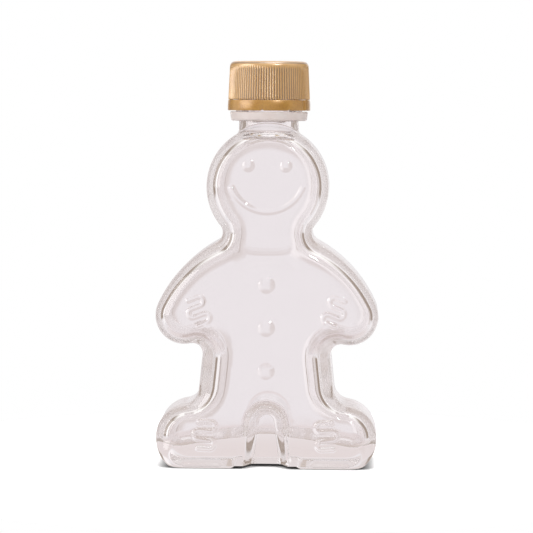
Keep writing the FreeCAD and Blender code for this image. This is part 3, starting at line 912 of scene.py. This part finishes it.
mottle, flakes = mottleGroup(), flakeGroup()
buildGlass(clearGlass(), milkyGlass())
ribbedWall = {"radius": wallRadius(0) * mm, "draft": draft,
              "groove": closure["ribDepth"] * mm, "ceiling": ceiling * mm}
cap = buildCap(pearlGold("pearlGoldRibbed", (0.61, 0.345, 0.085), (0.44, 0.225, 0.04), 2.1, ribbedWall))
band = buildBand(pearlGold("pearlGoldPlain", (0.50, 0.26, 0.03), (0.30, 0.13, 0.006), 1.6))
print("cap and ring: faces", len(cap.data.polygons), len(band.data.polygons))

# the stage: camera, floor, surroundings and lamps, in metres
stage = {
    "distance": 0.950, "height": 0.134, "azimuth": 1.7, "roll": 0.35, "lens": 171.1,
    "aimX": -0.0006, "aimZ": 0.0738,
    "floorRadius": 0.16, "floorSides": 96, "floorColour": 0.9, "floorGlow": 0.45,
    "contactReach": 0.0038, "contactSamples": 12, "contactCurve": 1.2, "contactShadowTone": 0.02,
    "seenNearShade": (0.80, 0.725, 0.715), "seenShade": (0.62, 0.54, 0.50), "seenFrom": 0.045, "seenTo": 0.155,
    "ambient": 0.72, "backdrop": (0.885, 0.855, 0.865),
    "brightSide": (1.02, 0.985, 0.985), "dimSide": (0.75, 0.69, 0.675), "sideFrom": 0.42, "sideTo": 0.85,
    "above": (0.76, 0.70, 0.69), "aboveBand": (0.03, 0.15),
    "ceiling": (1.10, 1.08, 1.06), "ceilingBand": (0.42, 0.60),
    "card": (0.34, 0.27, 0.22), "cardEdge": (0.79, 0.92), "cardFoot": (-0.21, -0.13), "cardTop": (0.50, 0.80),
    "evenTone": (0.86, 0.81, 0.80), "wandered": (4.5, 8.5), "bounces": 96,
    "lampAim": (0, 0, 0.08),
    "lamps": {
        "softboxLeft": {"place": (-0.95, -0.40, 0.40), "size": (0.7, 0.7), "power": 5.5},
        "spotRight": {"place": (0.42, -0.80, 0.75), "size": (0.08, 0.08), "power": 3.2},
        "softboxTop": {"place": (0.1, -0.1, 1.2), "size": (0.7, 0.5), "power": 4.0},
    },
}


def placeCamera():
    s = stage
    camera = bpy.data.objects.new("camera", bpy.data.cameras.new("camera"))
    bpy.context.scene.collection.objects.link(camera)
    camera.data.lens = s["lens"]
    azimuth = math.radians(s["azimuth"])
    camera.location = (s["distance"] * math.sin(azimuth), -s["distance"] * math.cos(azimuth), s["height"])
    aim = Vector((s["aimX"], 0, s["aimZ"])) - camera.location
    roll = Quaternion((0, 0, 1), math.radians(s["roll"]))
    camera.rotation_euler = (aim.to_track_quat("-Z", "Y") @ roll).to_euler()
    bpy.context.scene.camera = camera


def buildFloor():
    # to the eye a plain white floor with the object's shadow and a painted contact shadow from an occlusion
    # node; through glass or in a reflection a softer one, with painted shade near and under the object
    s = stage
    bm = bmesh.new()
    bmesh.ops.create_circle(bm, cap_ends=True, radius=s["floorRadius"], segments=s["floorSides"])
    mesh = bpy.data.meshes.new("floor")
    bm.to_mesh(mesh)
    bm.free()
    floor = bpy.data.objects.new("floor", mesh)
    bpy.context.scene.collection.objects.link(floor)
    material = bpy.data.materials.new("whiteFloor")
    material.use_nodes = True
    tree = material.node_tree
    tree.nodes.clear()
    rays = addNode(tree, "LightPath").outputs
    seen = sums(tree, "MAXIMUM", rays["Is Glossy Ray"], rays["Is Transmission Ray"])
    # painted contact shadow: an occlusion node darkens the floor's colour and its glow right round the object
    contact = addNode(tree, "AmbientOcclusion", {"Distance": s["contactReach"]}, samples=s["contactSamples"])
    openness = sums(tree, "POWER", contact.outputs["AO"], s["contactCurve"])
    white = (s["floorColour"],) * 3
    diffuse = addNode(tree, "BsdfDiffuse")
    direct = blended(tree, openness, (s["contactShadowTone"],) * 3, white)
    tree.links.new(blended(tree, seen, direct, (0.0, 0.0, 0.0)), diffuse.inputs["Color"])
    glow = addNode(tree, "Emission")
    toEye = sums(tree, "MULTIPLY", sums(tree, "MULTIPLY", rays["Is Camera Ray"], s["floorGlow"]), openness)
    away = addNode(tree, "VectorMath", operation="LENGTH")
    tree.links.new(addNode(tree, "TexCoord").outputs["Object"], away.inputs[0])
    farOut = eased(tree, away.outputs["Value"], s["seenFrom"], s["seenTo"])
    # painted shade for rays through glass: the floor is darker near the object and darker still where
    # occluded, fading to the backdrop tone further out
    tone = blended(tree, farOut, s["seenNearShade"], s["backdrop"])
    toGlass = blended(tree, openness, s["seenShade"], tone)
    tree.links.new(blended(tree, seen, toEye, toGlass), glow.inputs["Color"])
    both = addNode(tree, "AddShader")
    tree.links.new(diffuse.outputs[0], both.inputs[0])
    tree.links.new(glow.outputs[0], both.inputs[1])
    tree.links.new(both.outputs[0], addNode(tree, "OutputMaterial").inputs["Surface"])
    mesh.materials.append(material)


def buildSurround():
    # pale at the horizon and greyer above it under a bright ceiling; beside each main and diagonal direction
    # one side is brighter and the other dimmer, and soft warm cards stand at the diagonals
    s = stage
    world = bpy.data.worlds.new("studio")
    bpy.context.scene.world = world
    world.use_nodes = True
    tree = world.node_tree
    tree.nodes.clear()
    way = addNode(tree, "SeparateXYZ")
    tree.links.new(addNode(tree, "TexCoord").outputs["Generated"], way.inputs[0])
    x, y, z = way.outputs
    level = sums(tree, "MAXIMUM", sums(tree, "SUBTRACT", 1.0, sums(tree, "MULTIPLY", z, z)), 0.01)
    twice = sums(tree, "MULTIPLY", sums(tree, "MULTIPLY", x, y), 2.0)
    squares = sums(tree, "SUBTRACT", sums(tree, "MULTIPLY", x, x), sums(tree, "MULTIPLY", y, y))
    fourfold = sums(tree, "MULTIPLY", sums(tree, "MULTIPLY", twice, squares), 2.0)
    # the sine of four times the azimuth
    sector = sums(tree, "DIVIDE", fourfold, sums(tree, "MULTIPLY", level, level))
    plain = blended(tree, eased(tree, z, *s["aboveBand"]), s["backdrop"], s["above"])
    plain = blended(tree, eased(tree, sector, -s["sideFrom"], -s["sideTo"]), plain, s["brightSide"])
    plain = blended(tree, eased(tree, sector, s["sideFrom"], s["sideTo"]), plain, s["dimSide"])
    plain = blended(tree, eased(tree, z, *s["ceilingBand"]), plain, s["ceiling"])
    diagonal = sums(tree, "DIVIDE", sums(tree, "ABSOLUTE", twice), level)
    across = eased(tree, diagonal, *s["cardEdge"])
    upright = sums(tree, "MULTIPLY", eased(tree, z, *s["cardFoot"]), eased(tree, z, *s["cardTop"], 1.0, 0.0))
    pattern = blended(tree, sums(tree, "MULTIPLY", across, upright), plain, s["card"])
    rays = addNode(tree, "LightPath").outputs
    # light that has wandered long in the rounded edges comes out in one even tone
    pattern = blended(tree, eased(tree, rays["Ray Depth"], *s["wandered"]), pattern, s["evenTone"])
    ambient = (s["ambient"],) * 3
    soft = blended(tree, rays["Is Diffuse Ray"], pattern, ambient)
    final = blended(tree, rays["Is Camera Ray"], soft, (1.0, 1.0, 1.0))
    background = addNode(tree, "Background")
    tree.links.new(final, background.inputs["Color"])
    tree.links.new(background.outputs[0], addNode(tree, "OutputWorld").inputs["Surface"])


def addLamp(name, place, size, power):
    light = bpy.data.lights.new(name, "AREA")
    light.shape = "RECTANGLE"
    light.size, light.size_y = size
    light.energy = power
    lamp = bpy.data.objects.new(name, light)
    lamp.location = place
    lamp.rotation_euler = (Vector(stage["lampAim"]) - lamp.location).to_track_quat("-Z", "Y").to_euler()
    lamp.visible_transmission = False
    bpy.context.scene.collection.objects.link(lamp)


placeCamera()
buildFloor()
buildSurround()
for name, lamp in stage["lamps"].items():
    addLamp(name, lamp["place"], lamp["size"], lamp["power"])
print("stage: camera, floor, surround and lamps")

scene = bpy.context.scene
scene.view_settings.view_transform = "Standard"
scene.cycles.max_bounces = stage["bounces"]
scene.cycles.transmission_bounces = stage["bounces"]
scene.cycles.glossy_bounces = stage["bounces"]
